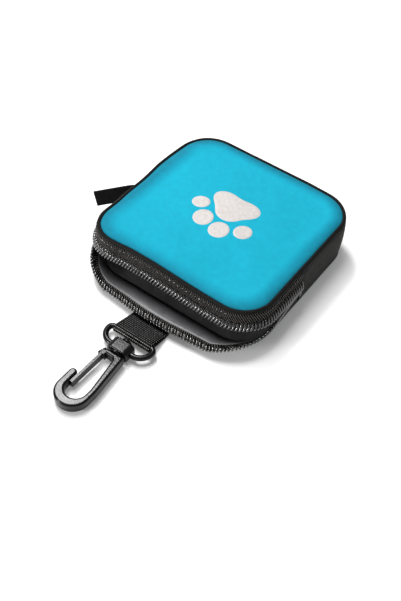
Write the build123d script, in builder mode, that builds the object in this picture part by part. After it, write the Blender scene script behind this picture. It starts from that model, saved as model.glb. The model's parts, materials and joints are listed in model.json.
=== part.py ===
"""Zip-mouthed treat pouch with a swivel snap hook, lying on its back with its mouth open.

Frame: millimetres, +Z up through the lid, -Y out of the mouth, origin at the centre of the
base panel's underside.
"""

import os
from math import cos, radians, sin

from build123d import *

os.makedirs("parts", exist_ok=True)

# ---------------------------------------------------------------- driving dimensions
PANEL = 110.0  # padded lid and base panels, edge to edge
PANEL_R = 18.5  # their corner radius
BODY = 115.0  # across the outside of the side walls
HEIGHT = 32.0  # base underside to lid top
HINGE_Y = -7.0  # line between the two ends of the mouth, where the lid bends
HALF_GAP = 0.2  # half the slit left where two bodies meet

PANEL_T = 2.6  # padded panel
EDGE_ROUND = 1.8  # rounding of a padded panel's outer edge
FOAM_T = 1.2  # stiffening board behind the panel
LINING_T = 0.5  # coated lining
WALL_T = 1.0  # woven side wall
TAPE_T = 0.8  # zip tape
PIPING_R = 1.0  # corded edge round each panel

ZIP_Z = 16.0  # middle of the closed zip
COIL_W = 4.2  # one open coil, from tape to teeth tips
COIL_T = 2.6  # thickness of the coil
CHAIN_HALF = 3.5  # half width of the closed chain
CHAIN_SLIT = 0.7  # half the slit that the slider's wedge runs in
CLOSED_END_Y = 21.0  # closed end of the zip, on the left wall
TAB_LENGTH = 6.0  # fabric tab that covers each end of the zip
LIP_WIDTH = 13.5  # lower lip, from the base seam to the teeth tips

STRAP_W = 25.0  # webbing width
STRAP_T = 0.8  # one layer of webbing
STRAP_LOW = 0.1  # underside of the strap
FOLD_Y = -74.5  # where the strap folds, just beyond the lip

BAR_Y = -87.0  # straight bar of the swivel eye
HOOK_Z = 4.5  # middle plane of the eye and the hook
WIRE_R = 1.7  # wire of the eye
STEM_R = 2.5  # swivelling stem of the hook
RUNNING_GAP = 0.1  # radial play of a turning fit
HOOK_T = 6.4  # thickness of the hook

# ---------------------------------------------------------------- worked-out sizes
FOAM_SIZE = PANEL - 4.0
FOAM_R = PANEL_R - 2.0
PIPING_LINE = PANEL + 2.2  # centreline of the piping, side to side
PIPING_LINE_R = PANEL_R + 1.1
BODY_R = PANEL_R + (BODY - PANEL) / 2
WALL_LOW = PANEL_T + 1.2  # the walls stand on the base piping
WALL_HIGH = HEIGHT - WALL_LOW
FLOOR_TOP = PANEL_T + FOAM_T + LINING_T
CEILING = HEIGHT - FLOOR_TOP
UPPER_EDGE = ZIP_Z + 0.5  # teeth tips of the open upper zip
TAPE_X = BODY / 2 - TAPE_T / 2  # middle of the tape on a straight side
CORNER = BODY / 2 - BODY_R  # centre of the corner rounding
SEAM_Z = WALL_LOW + 0.1  # foot of the lower lip
FRONT_LIP_Z = 3.6  # level of the lip where it lies flat over the strap
FAR = 300.0  # larger than the object, for trimming boxes


def finish(piece, name):
    """Labels a finished piece and writes it as parts/name.step."""
    piece.part.label = name
    export_step(piece.part, f"parts/{name}.step")


def keep_rear():
    """Keeps what lies behind the lid's bend line."""
    split(bisect_by=Plane.XZ.offset(-(HINGE_Y + HALF_GAP)), keep=Keep.BOTTOM)


def keep_front():
    """Keeps what lies in front of the lid's bend line."""
    split(bisect_by=Plane.XZ.offset(-(HINGE_Y - HALF_GAP)), keep=Keep.TOP)


def rounded_path(side, radius, level):
    """The rounded square that the piping follows, as a closed wire."""
    half = side / 2
    corners = ((half, half), (half, -half), (-half, -half), (-half, half))
    with BuildLine(Plane.XY.offset(level)) as path:
        FilletPolyline(*corners, radius=radius, close=True)
    return path.wires()[0]


def band_profile(outer_offset, inner_offset):
    """A rounded-square ring between two offsets outward from the side wall's outside."""
    with BuildSketch() as ring:
        outer = BODY + 2 * outer_offset
        inner = BODY + 2 * inner_offset
        RectangleRounded(outer, outer, BODY_R + outer_offset)
        RectangleRounded(inner, inner, BODY_R + inner_offset, mode=Mode.SUBTRACT)
    return ring.sketch


def upright_band(low, high, outer_offset, inner_offset):
    """Stands a ring of the side wall's outline up between two levels."""
    ring = band_profile(outer_offset, inner_offset)
    extrude(Plane.XY.offset(low) * ring, amount=high - low)


def keep_between(low_y, high_y, left_only=False):
    """Keeps only a stretch of the open piece along Y, on the left side alone if asked."""
    with Locations((0, (low_y + high_y) / 2, 0)):
        wide = FAR / 2 if left_only else FAR
        align_x = Align.MAX if left_only else Align.CENTER
        Box(wide, high_y - low_y, FAR, align=(align_x, Align.CENTER, Align.CENTER),
            mode=Mode.INTERSECT)


# ---------------------------------------------------------------- base
with BuildPart() as base_panel:
    with BuildSketch():
        RectangleRounded(PANEL, PANEL, PANEL_R)
    extrude(amount=PANEL_T)
    fillet(base_panel.faces().sort_by(Axis.Z)[0].edges(), EDGE_ROUND)
finish(base_panel, "base_panel")

with BuildPart() as base_foam:
    with BuildSketch(Plane.XY.offset(PANEL_T)):
        RectangleRounded(FOAM_SIZE, FOAM_SIZE, FOAM_R)
    extrude(amount=FOAM_T)
finish(base_foam, "base_foam")

with BuildPart() as floor_lining:
    with BuildSketch(Plane.XY.offset(PANEL_T + FOAM_T)):
        RectangleRounded(FOAM_SIZE, FOAM_SIZE, FOAM_R)
    extrude(amount=LINING_T)
finish(floor_lining, "floor_lining")

base_edge = rounded_path(PIPING_LINE, PIPING_LINE_R, WALL_LOW - PIPING_R)
with BuildPart() as base_piping:
    with BuildSketch(Plane(origin=base_edge @ 0, z_dir=base_edge % 0)):
        Circle(PIPING_R)
    sweep(path=base_edge)
finish(base_piping, "base_piping")

# ---------------------------------------------------------------- lid, in two halves that bend
lid_edge = rounded_path(PIPING_LINE, PIPING_LINE_R, WALL_HIGH + PIPING_R)

for side, keep_half in (("rear", keep_rear), ("front", keep_front)):
    with BuildPart() as lid_panel:
        with BuildSketch(Plane.XY.offset(HEIGHT - PANEL_T)):
            RectangleRounded(PANEL, PANEL, PANEL_R)
        extrude(amount=PANEL_T)
        fillet(lid_panel.faces().sort_by(Axis.Z)[-1].edges(), EDGE_ROUND)
        keep_half()
    finish(lid_panel, f"lid_panel_{side}")

    with BuildPart() as lid_foam:
        with BuildSketch(Plane.XY.offset(HEIGHT - PANEL_T - FOAM_T)):
            RectangleRounded(FOAM_SIZE, FOAM_SIZE, FOAM_R)
        extrude(amount=FOAM_T)
        keep_half()
    finish(lid_foam, f"lid_foam_{side}")

    with BuildPart() as lid_lining:
        with BuildSketch(Plane.XY.offset(CEILING)):
            RectangleRounded(FOAM_SIZE, FOAM_SIZE, FOAM_R)
        extrude(amount=LINING_T)
        keep_half()
    finish(lid_lining, f"lid_lining_{side}")

    with BuildPart() as lid_piping:
        with BuildSketch(Plane(origin=lid_edge @ 0, z_dir=lid_edge % 0)):
            Circle(PIPING_R)
        sweep(path=lid_edge)
        keep_half()
    finish(lid_piping, f"lid_piping_{side}")

# ---------------------------------------------------------------- paw print on the lid
PRINT_T = 0.15
PAD_CENTRE = (0.0, 8.0)
TOES = ((-19.0, 0.0, 20), (-8.5, -12.0, 8), (6.5, -12.5, -8), (17.5, -3.0, -20))
TOE_LENGTH = 13.0
TOE_WIDTH = 10.5

for side, keep_half in (("rear", keep_rear), ("front", keep_front)):
    with BuildPart() as paw_print:
        with BuildSketch(Plane.XY.offset(HEIGHT)):
            for across, along, turn in TOES:
                with Locations(Location((across, along), turn)):
                    Ellipse(TOE_WIDTH / 2, TOE_LENGTH / 2)
            with Locations(PAD_CENTRE):
                Ellipse(13.5, 8.5)
        extrude(amount=PRINT_T)
        keep_half()
    finish(paw_print, f"paw_print_{side}")

# ---------------------------------------------------------------- side wall and its lining
SPINE_START = CLOSED_END_Y + 1.4  # left end of the woven wall, behind the zip


def drop_left_front():
    """Cuts the stretch of the left wall that the closed zip takes."""
    with Locations((-FAR / 2, SPINE_START - FAR / 2, 0)):
        Box(FAR, FAR, FAR, mode=Mode.SUBTRACT)


with BuildPart() as spine_gusset:
    upright_band(WALL_LOW, WALL_HIGH, 0, -WALL_T)
    keep_rear()
    drop_left_front()
finish(spine_gusset, "spine_gusset")

with BuildPart() as wall_lining:
    upright_band(FLOOR_TOP, CEILING, -WALL_T - 0.1, -WALL_T - 0.1 - LINING_T)
    keep_rear()
    drop_left_front()
finish(wall_lining, "wall_lining")

# ---------------------------------------------------------------- closed zip on the left wall
COIL_OUT = (COIL_T - TAPE_T) / 2  # how far the coil stands out of the tape on each side
CLOSED_ZIP = (
    ("zip_tape_upper_rear", ZIP_Z + CHAIN_HALF, WALL_HIGH, 0, -TAPE_T),
    ("zip_coil_upper_rear", ZIP_Z + CHAIN_SLIT, ZIP_Z + CHAIN_HALF, COIL_OUT, -TAPE_T - COIL_OUT),
    ("zip_coil_lower_rear", ZIP_Z - CHAIN_HALF, ZIP_Z - CHAIN_SLIT, COIL_OUT, -TAPE_T - COIL_OUT),
    ("zip_tape_lower_rear", WALL_LOW, ZIP_Z - CHAIN_HALF, 0, -TAPE_T),
)
for name, low, high, outside, inside in CLOSED_ZIP:
    with BuildPart() as closed_zip:
        upright_band(low, high, outside, inside)
        keep_between(HINGE_Y + HALF_GAP, CLOSED_END_Y, left_only=True)
    finish(closed_zip, name)

with BuildPart() as zip_bottom_stop:
    with Locations((-TAPE_X, CLOSED_END_Y + 0.7, ZIP_Z)):
        Box(COIL_T + 0.6, 1.2, 2 * CHAIN_HALF)
finish(zip_bottom_stop, "zip_bottom_stop")

# ---------------------------------------------------------------- fabric tabs over the zip ends
TAB_T = 0.8
TAB_HIGH = WALL_HIGH - WALL_LOW - 4.0
for side, centre_x, centre_y in (
    ("left", -BODY / 2 - TAB_T / 2 - 0.05, SPINE_START + 0.2 + TAB_LENGTH / 2),
    ("right", BODY / 2 + TAB_T / 2 + 0.05, HINGE_Y + 0.5 + TAB_LENGTH / 2),
):
    with BuildPart() as end_tab:
        with BuildSketch(Plane.YZ.offset(centre_x - TAB_T / 2)):
            with Locations((centre_y, ZIP_Z)):
                RectangleRounded(TAB_LENGTH, TAB_HIGH, 2.0)
        extrude(amount=TAB_T)
    finish(end_tab, f"zip_end_tab_{side}")

# ---------------------------------------------------------------- open upper zip on the lid
with BuildPart() as zip_tape_upper_front:
    upright_band(UPPER_EDGE + COIL_W, WALL_HIGH, 0, -TAPE_T)
    keep_front()
finish(zip_tape_upper_front, "zip_tape_upper_front")

with BuildPart() as zip_coil_upper_front:
    upright_band(UPPER_EDGE, UPPER_EDGE + COIL_W, COIL_OUT, -TAPE_T - COIL_OUT)
    keep_front()
finish(zip_coil_upper_front, "zip_coil_upper_front")

STOP_LENGTH = 2.4
with BuildPart() as zip_top_stop_upper:
    with Locations((TAPE_X + COIL_T / 2 + 0.4, HINGE_Y - HALF_GAP - STOP_LENGTH / 2, UPPER_EDGE + COIL_W / 2)):
        Box(0.8, STOP_LENGTH, COIL_W)
finish(zip_top_stop_upper, "zip_top_stop_upper")

# ---------------------------------------------------------------- lower lip, flared open
SIDE_STATIONS = ((HINGE_Y - HALF_GAP, 0.0, 11.2), (-22.0, 7.0, 11.6), (-CORNER, 15.0, 12.4))
FRONT_TILT = 85.0  # lean of the lip out of the vertical at the middle of the mouth
CORNER_STEPS = 6
LIP_SPLIT_X = CORNER  # where the lifting part of the lip begins


def lip_stations():
    """Frames round the left half of the lip: foot, outward heading, lean and width.

    The lip stands upright where the zip closes and leans out more and more round the corner,
    until it lies nearly flat across the front.
    """
    stations = []
    for along, lean, width in SIDE_STATIONS:
        stations.append(((-TAPE_X, along), 0.0, lean, width))
    for step in range(1, CORNER_STEPS + 1):
        share = step / CORNER_STEPS
        heading = 90.0 * share
        lean = SIDE_STATIONS[-1][1] + (FRONT_TILT - SIDE_STATIONS[-1][1]) * share**2
        width = SIDE_STATIONS[-1][2] + (LIP_WIDTH - SIDE_STATIONS[-1][2]) * min(1, 2 * share)
        reach = TAPE_X - CORNER
        foot = (-CORNER - reach * cos(radians(heading)), -CORNER - reach * sin(radians(heading)))
        stations.append((foot, heading, lean, width))
    return stations


def lip_section(station, start, stop, low, high):
    """One cross-section of the lip: start and stop along its width, low and high through it."""
    (foot_x, foot_y), heading, lean, width = station
    outward = Vector(-cos(radians(heading)), -sin(radians(heading)), 0)
    up_lip = outward * sin(radians(lean)) + Vector(0, 0, cos(radians(lean)))
    along = Vector(sin(radians(heading)), -cos(radians(heading)), 0)
    first = start if start >= 0 else width + start
    last = stop if stop > 0 else width + stop
    plane = Plane(origin=(foot_x, foot_y, SEAM_Z), x_dir=up_lip, z_dir=along)
    with BuildSketch(plane) as section:
        with Locations(((first + last) / 2, (low + high) / 2)):
            Rectangle(last - first, high - low)
    return section.sketch


LIP_LAYERS = (
    ("zip_tape_lower", 0.0, -COIL_W, -TAPE_T / 2, TAPE_T / 2),
    ("zip_coil_lower", -COIL_W, 0.0, -COIL_T / 2, COIL_T / 2),
    ("lip_lining", 0.6, -COIL_W - 0.6, TAPE_T / 2, TAPE_T / 2 + LINING_T),
)
for name, start, stop, low, high in LIP_LAYERS:
    for side in ("left", "right"):
        with BuildPart() as lip_layer:
            loft([lip_section(station, start, stop, low, high) for station in lip_stations()], ruled=True)
            if side == "right":
                mirror(about=Plane.YZ, mode=Mode.REPLACE)
        finish(lip_layer, f"{name}_{side}")

with BuildPart() as zip_top_stop_lower:
    with Locations((TAPE_X + COIL_T / 2 + 0.4, HINGE_Y - HALF_GAP - STOP_LENGTH / 2, SEAM_Z + 9.1)):
        Box(0.8, STOP_LENGTH, COIL_W)
finish(zip_top_stop_lower, "zip_top_stop_lower")

LIP_FOOT_Y = -TAPE_X - 0.4  # lip's hinge line along the base seam
LIP_EDGE_Y = LIP_FOOT_Y - LIP_WIDTH - 0.6
for name, near, far, low, high in (
    ("zip_tape_lower_front", LIP_FOOT_Y, LIP_EDGE_Y + COIL_W, -TAPE_T / 2, TAPE_T / 2),
    ("zip_coil_lower_front", LIP_EDGE_Y + COIL_W, LIP_EDGE_Y, -COIL_T / 2, COIL_T / 2),
    ("lip_lining_front", LIP_FOOT_Y - 0.6, LIP_EDGE_Y + COIL_W + 0.6, TAPE_T / 2, TAPE_T / 2 + LINING_T),
):
    with BuildPart() as front_lip:
        with BuildSketch(Plane.XY.offset(FRONT_LIP_Z + low)):
            with Locations((0, (near + far) / 2)):
                Rectangle(2 * (LIP_SPLIT_X - 2 * HALF_GAP), near - far)
        extrude(amount=high - low)
    finish(front_lip, name)

# ---------------------------------------------------------------- slider, bail and pull
SLIDER_Y = 1.5  # middle of the slider
SLIDER_HIGH = 11.4
PLATE_T = 1.3
PLATE_OUT = COIL_T / 2 + 0.6  # inner face of each plate, from the middle of the tape
WEDGE_LENGTH = 3.0
SLIDER_NOSE = 7.0  # from the slider's middle to either end
SLIDER_CHAMFER_Y = 4.0
SLIDER_CHAMFER_Z = 4.4
FLANGE_LENGTH = 10.0
FLANGE_T = 1.2
FLANGE_GAP = TAPE_T / 2 + 0.5

with BuildPart() as slider_body:
    for outward in (-1, 1):
        plate_middle = -TAPE_X + outward * (PLATE_OUT + PLATE_T / 2)
        with BuildSketch(Plane.YZ.offset(plate_middle)):
            with BuildLine():
                FilletPolyline(
                    (SLIDER_Y - SLIDER_NOSE, ZIP_Z - SLIDER_CHAMFER_Z),
                    (SLIDER_Y - SLIDER_NOSE, ZIP_Z + SLIDER_CHAMFER_Z),
                    (SLIDER_Y - SLIDER_CHAMFER_Y, ZIP_Z + SLIDER_HIGH / 2),
                    (SLIDER_Y + SLIDER_NOSE, ZIP_Z + SLIDER_HIGH / 2),
                    (SLIDER_Y + SLIDER_NOSE, ZIP_Z - SLIDER_HIGH / 2),
                    (SLIDER_Y - SLIDER_CHAMFER_Y, ZIP_Z - SLIDER_HIGH / 2), radius=1.2, close=True,
                )
            make_face()
        extrude(amount=PLATE_T / 2, both=True)
        flange_middle = -TAPE_X + outward * (FLANGE_GAP + PLATE_OUT) / 2
        for up in (-1, 1):
            with Locations((flange_middle, SLIDER_Y + 1.4, ZIP_Z + up * (SLIDER_HIGH - FLANGE_T) / 2)):
                Box(PLATE_OUT - FLANGE_GAP, FLANGE_LENGTH, FLANGE_T)
    with Locations((-TAPE_X, SLIDER_Y - 5.3, ZIP_Z)):
        Box(2 * PLATE_OUT, WEDGE_LENGTH, 2 * CHAIN_SLIT - 0.4)
finish(slider_body, "slider_body")

PLATE_FACE_X = -TAPE_X - PLATE_OUT - PLATE_T
PULL_AXIS_X = PLATE_FACE_X - 2.4
BAIL_TOP_X = PLATE_FACE_X - 5.4
BAIL_HALF = 4.1
BAIL_WIRE = 1.1
BAIL_T = 2.6
bail_inner_x = BAIL_TOP_X + BAIL_WIRE
bail_inner = BAIL_HALF - BAIL_WIRE
with BuildPart() as slider_bail:
    with BuildSketch(Plane.XY.offset(ZIP_Z)):
        with BuildLine():
            FilletPolyline(
                (PLATE_FACE_X, SLIDER_Y - BAIL_HALF), (BAIL_TOP_X, SLIDER_Y - BAIL_HALF),
                (BAIL_TOP_X, SLIDER_Y + BAIL_HALF), (PLATE_FACE_X, SLIDER_Y + BAIL_HALF), radius=1.8,
            )
            Line((PLATE_FACE_X, SLIDER_Y + BAIL_HALF), (PLATE_FACE_X, SLIDER_Y - BAIL_HALF))
        make_face()
        with BuildLine(mode=Mode.PRIVATE) as bail_inside:
            FilletPolyline(
                (PLATE_FACE_X, SLIDER_Y - bail_inner), (bail_inner_x, SLIDER_Y - bail_inner),
                (bail_inner_x, SLIDER_Y + bail_inner), (PLATE_FACE_X, SLIDER_Y + bail_inner), radius=1.0,
            )
            Line((PLATE_FACE_X, SLIDER_Y + bail_inner), (PLATE_FACE_X, SLIDER_Y - bail_inner))
        make_face(bail_inside.edges(), mode=Mode.SUBTRACT)
    extrude(amount=BAIL_T / 2, both=True)
finish(slider_bail, "slider_bail")

PULL_SWING = 50.0  # how far the pull stands out from the zip's run
PULL_LEAN = 15.0  # how far its upper edge leans outward
PULL_LENGTH = 31.0
PULL_W = 10.5
PULL_T = 1.8
PULL_EYE_R = 4.4
PULL_HOLE_R = 3.0
swing = radians(PULL_SWING)
lean = radians(PULL_LEAN)
pull_heading = Vector(-sin(swing) * cos(lean), -cos(swing), -sin(swing) * sin(lean))
pull_axis = Vector(-sin(lean), 0, cos(lean))
pull_plane = Plane(
    origin=(PULL_AXIS_X, SLIDER_Y, ZIP_Z), x_dir=pull_heading, z_dir=pull_heading.cross(pull_axis)
)
with BuildPart() as pull_tab:
    with BuildSketch(pull_plane):
        with Locations((3.5, 0)):
            Circle(PULL_EYE_R)
        with Locations(((PULL_LENGTH + 11) / 2 - 0.5, 0)):
            Rectangle(PULL_LENGTH - 10, PULL_W)
        make_hull()
        with BuildSketch(pull_plane, mode=Mode.PRIVATE) as pull_hole:
            with Locations((3.9, 0)):
                Circle(PULL_HOLE_R)
            with Locations((9.2, 0)):
                Circle(1.2)
            make_hull()
        add(pull_plane.to_local_coords(pull_hole.sketch), mode=Mode.SUBTRACT)
    extrude(amount=PULL_T / 2, both=True)
    fillet(pull_tab.edges().filter_by(lambda edge: edge.length > 15), 0.5)
finish(pull_tab, "pull_tab")

# ---------------------------------------------------------------- strap
SLOPE_Y = -76.0  # where the loop starts to rise towards the bar
SEAM_Y = -BODY / 2 + 0.2
with BuildPart() as strap_anchor:
    for layer in range(2):
        with Locations((0, (FOLD_Y + 0.3 + SEAM_Y) / 2, STRAP_LOW + STRAP_T * (layer + 0.5))):
            Box(STRAP_W, SEAM_Y - FOLD_Y - 0.3, STRAP_T)
finish(strap_anchor, "strap_anchor")

with BuildPart() as strap_loop:
    with BuildSketch(Plane.YZ):
        with Locations(((FOLD_Y + SLOPE_Y) / 2, STRAP_LOW + STRAP_T)):
            Rectangle(FOLD_Y - SLOPE_Y, 2 * STRAP_T)
        with BuildSketch(mode=Mode.PRIVATE) as loop_outside:
            with Locations((SLOPE_Y, STRAP_LOW + STRAP_T)):
                Rectangle(0.2, 2 * STRAP_T)
            with Locations((BAR_Y, HOOK_Z)):
                Circle(WIRE_R + RUNNING_GAP + STRAP_T)
            make_hull()
        add(loop_outside.sketch)
        with BuildSketch(mode=Mode.PRIVATE) as loop_inside:
            with Locations((SLOPE_Y - 1.0, STRAP_LOW + 1.25 * STRAP_T)):
                Circle(0.1)
            with Locations((BAR_Y, HOOK_Z)):
                Circle(WIRE_R + RUNNING_GAP)
            make_hull()
        add(loop_inside.sketch, mode=Mode.SUBTRACT)
    extrude(amount=STRAP_W / 2, both=True)
finish(strap_loop, "strap_loop")

STITCH_Y = -66.0  # first of two rows sewn through both layers, under the lip
STITCH_STEP = 1.6
STITCH_T = 0.3  # how far the thread stands up
with BuildPart() as strap_stitching:
    for row in range(2):
        with Locations((0, STITCH_Y - row * STITCH_STEP, STRAP_LOW + 2 * STRAP_T + STITCH_T / 2)):
            Box(STRAP_W - 3, 0.7, STITCH_T)
finish(strap_stitching, "strap_stitching")

# ---------------------------------------------------------------- swivel eye
EYE_HALF = 15.2  # centreline of the eye's sides
BAR_BEND = 2.4  # bends beside the strap
FRONT_BEND = 7.8  # wide bends beside the barrel
BARREL_LENGTH = 8.2
BARREL_Y = -97.4
BARREL_W = 14.0
BARREL_H = 8.6
BARREL_R = 3.4
BARREL_ROUND = 1.1

bar_end = EYE_HALF - BAR_BEND
side_y = BAR_Y - BAR_BEND
front_end = EYE_HALF - FRONT_BEND
front_y = side_y - FRONT_BEND
with BuildLine(Plane.XY.offset(HOOK_Z)) as eye_line:
    Line((-bar_end, BAR_Y), (bar_end, BAR_Y))
    JernArc((bar_end, BAR_Y), (1, 0), BAR_BEND, -90)
    JernArc((EYE_HALF, side_y), (0, -1), FRONT_BEND, -90)
    Line((front_end, front_y), (-front_end, front_y))
    JernArc((-front_end, front_y), (-1, 0), FRONT_BEND, -90)
    JernArc((-EYE_HALF, side_y), (0, 1), BAR_BEND, -90)
eye_path = eye_line.wires()[0]
with BuildPart() as swivel_eye:
    with BuildSketch(Plane.XZ.offset(-(BARREL_Y + BARREL_LENGTH / 2))):
        with Locations((0, HOOK_Z)):
            RectangleRounded(BARREL_W, BARREL_H, BARREL_R)
    extrude(amount=BARREL_LENGTH)
    barrel_ends = swivel_eye.edges().group_by(Axis.Y)
    fillet(barrel_ends[0] + barrel_ends[-1], BARREL_ROUND)
    with BuildSketch(Plane(origin=eye_path @ 0, z_dir=eye_path % 0)):
        Circle(WIRE_R)
    sweep(path=eye_path)
    with BuildSketch(Plane.XZ.offset(-(BARREL_Y + BARREL_LENGTH / 2))):
        with Locations((0, HOOK_Z)):
            Circle(STEM_R + RUNNING_GAP)
    extrude(amount=BARREL_LENGTH, mode=Mode.SUBTRACT)
finish(swivel_eye, "swivel_eye")

# ---------------------------------------------------------------- hook
SHOULDER_Y = -102.9
SHOULDER_W = 13.0
THROAT_Y = -105.8  # top of the hook's opening
BOW_Y = -134.5  # centre of the outer bend
BOW_X = -1.3
BOW_R = 10.4
CROWN_X = -0.7  # centre of the inner bend
CROWN_Y = -132.7
CROWN_R = 6.3
NOSE_Y = -125.6  # end of the nose
SPINE_TOP_X = 2.4  # inner face of the spine at the throat
GATE_X = -5.4  # gate knuckle
GATE_Y = -105.6
KNUCKLE_R = 1.5
GATE_TIP_Y = -131.0
GATE_TIP_X = -6.7  # outer face of the gate's tip, just inside the nose
GATE_TIP_W = 1.5
GATE_T = 4.8
SHOULDER_OUT = -7.9  # the shoulder over the gate's knuckle
SHOULDER_FOOT_Y = -107.2
COLLAR_R = 4.0
COLLAR_LENGTH = 1.1
HOOK_ROUND = 1.3

crown_left = CROWN_X - CROWN_R
crown_right = CROWN_X + CROWN_R
nose_middle = (BOW_X - BOW_R + crown_left) / 2
with BuildPart() as hook_body:
    with BuildSketch(Plane.XY.offset(HOOK_Z)):
        with BuildLine():
            Polyline((SHOULDER_OUT, SHOULDER_FOOT_Y), (-SHOULDER_W / 2, SHOULDER_Y), (SHOULDER_W / 2, SHOULDER_Y),
                     (BOW_X + BOW_R, BOW_Y + 6))
            Line((BOW_X + BOW_R, BOW_Y + 6), (BOW_X + BOW_R, BOW_Y))
            ThreePointArc((BOW_X + BOW_R, BOW_Y), (BOW_X, BOW_Y - BOW_R), (BOW_X - BOW_R, BOW_Y))
            Line((BOW_X - BOW_R, BOW_Y), (BOW_X - BOW_R, NOSE_Y))
            ThreePointArc((BOW_X - BOW_R, NOSE_Y), (nose_middle, NOSE_Y + 2.2), (crown_left, NOSE_Y))
            Line((crown_left, NOSE_Y), (crown_left, CROWN_Y))
            ThreePointArc((crown_left, CROWN_Y), (CROWN_X, CROWN_Y - CROWN_R), (crown_right, CROWN_Y))
            Polyline((crown_right, CROWN_Y), (crown_right, CROWN_Y + 4), (SPINE_TOP_X, THROAT_Y - 1.5),
                     (SPINE_TOP_X - 1.5, THROAT_Y), (GATE_X + 2.0, THROAT_Y), (GATE_X + 2.0, SHOULDER_FOOT_Y),
                     (SHOULDER_OUT, SHOULDER_FOOT_Y))
        make_face()
    extrude(amount=HOOK_T / 2, both=True)
    outline = hook_body.edges().group_by(Axis.Z)
    fillet(outline[-1] + outline[0], HOOK_ROUND)
    with BuildSketch(Plane.XY.offset(HOOK_Z)):
        with Locations((GATE_X, GATE_Y)):
            Circle(KNUCKLE_R + RUNNING_GAP)
        with BuildLine():
            Polyline((GATE_X - 1.5, GATE_Y), (GATE_X + 1.0, GATE_Y), (GATE_X + 2.1, -109), (GATE_X - 2.0, -109),
                     close=True)
        make_face()
    extrude(amount=HOOK_T, both=True, mode=Mode.SUBTRACT)
    with BuildSketch(Plane.XZ.offset(-(SHOULDER_Y))):
        with Locations((0, HOOK_Z)):
            Circle(STEM_R)
    extrude(amount=-11.0)
    with BuildSketch(Plane.XZ.offset(-(SHOULDER_Y))):
        with Locations((0, HOOK_Z)):
            Circle(COLLAR_R)
    extrude(amount=-COLLAR_LENGTH)
finish(hook_body, "hook_body")

RETAINER_Y = BARREL_Y + BARREL_LENGTH / 2 + 0.3
RETAINER_R = 3.5
with BuildPart() as stem_retainer:
    with BuildSketch(Plane.XZ.offset(-RETAINER_Y)):
        with Locations((0, HOOK_Z)):
            Circle(RETAINER_R)
            Circle(STEM_R, mode=Mode.SUBTRACT)
    extrude(amount=-COLLAR_LENGTH)
finish(stem_retainer, "stem_retainer")

with BuildPart() as hook_gate:
    with BuildSketch(Plane.XY.offset(HOOK_Z)):
        with Locations((GATE_X, GATE_Y)):
            Circle(KNUCKLE_R)
        with BuildLine():
            Polyline((GATE_X - 1.0, GATE_Y), (GATE_X + 0.6, GATE_Y), (GATE_TIP_X + GATE_TIP_W, GATE_TIP_Y),
                     (GATE_TIP_X, GATE_TIP_Y), close=True)
        make_face()
    extrude(amount=GATE_T / 2, both=True)
finish(hook_gate, "hook_gate")
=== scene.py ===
"""Looks of the zip-mouthed treat pouch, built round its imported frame.

Lengths are millimetres, and become metres where a mesh is made. UVs are millimetres too, while
patterns over object coordinates are in metres. X runs along the mouth, -Y out of it, +Z up
through the lid.
"""

import json
from math import atan2, ceil, cos, pi, radians, sin, sqrt, tau

import bpy
import numpy as np
from mathutils import Matrix, Vector
from mathutils.bvhtree import BVHTree
from mathutils.noise import noise


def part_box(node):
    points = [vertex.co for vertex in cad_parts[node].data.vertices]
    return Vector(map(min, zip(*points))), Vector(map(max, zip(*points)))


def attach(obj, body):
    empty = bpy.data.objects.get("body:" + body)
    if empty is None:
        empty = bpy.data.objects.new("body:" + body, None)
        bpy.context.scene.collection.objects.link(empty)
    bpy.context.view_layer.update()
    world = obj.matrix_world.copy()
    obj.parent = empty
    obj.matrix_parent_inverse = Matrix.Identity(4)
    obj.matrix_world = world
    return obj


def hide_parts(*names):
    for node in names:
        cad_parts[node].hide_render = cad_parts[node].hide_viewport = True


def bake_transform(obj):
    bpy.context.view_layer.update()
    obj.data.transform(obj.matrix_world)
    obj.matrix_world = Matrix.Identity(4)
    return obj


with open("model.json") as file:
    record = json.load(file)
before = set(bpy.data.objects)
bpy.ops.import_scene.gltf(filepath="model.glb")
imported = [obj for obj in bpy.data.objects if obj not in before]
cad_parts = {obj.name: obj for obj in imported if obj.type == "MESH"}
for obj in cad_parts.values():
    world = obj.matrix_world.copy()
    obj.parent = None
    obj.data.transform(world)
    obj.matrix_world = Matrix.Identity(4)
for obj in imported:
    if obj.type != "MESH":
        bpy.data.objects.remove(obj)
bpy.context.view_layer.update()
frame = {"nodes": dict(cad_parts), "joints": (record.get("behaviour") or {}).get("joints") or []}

MM = 0.001


def box_mm(node):
    """Lowest and highest corner of a CAD node, in millimetres."""
    low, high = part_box(node)
    return np.array(low) / MM, np.array(high) / MM


def joint_mm(name):
    """Where a hinge's axis passes, in millimetres."""
    found = next(joint for joint in frame["joints"] if joint["name"] == name)
    return np.array(found["pos_m"]) / MM


# ---------------- sizes taken from the frame
PANEL_HALF = box_mm("base_panel")[1][0]
(_, _, WALL_LOW), (WALL_HALF, _, WALL_HIGH) = box_mm("spine_gusset")
HEIGHT = box_mm("lid_panel_rear")[1][2]
FLOOR_TOP = box_mm("floor_lining")[1][2]
CEILING = box_mm("lid_lining_rear")[0][2]
UPPER_EDGE = box_mm("zip_coil_upper_front")[0][2]
CLOSED_END_Y = box_mm("zip_coil_upper_rear")[1][1]
STRAP_HALF = box_mm("strap_loop")[1][0]
HINGE_Y = joint_mm("lid_lift")[1]
FOLD_Y = joint_mm("strap_fold")[1]
BAR_Y, BAR_Z = joint_mm("eye_swing")[1:]

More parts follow.
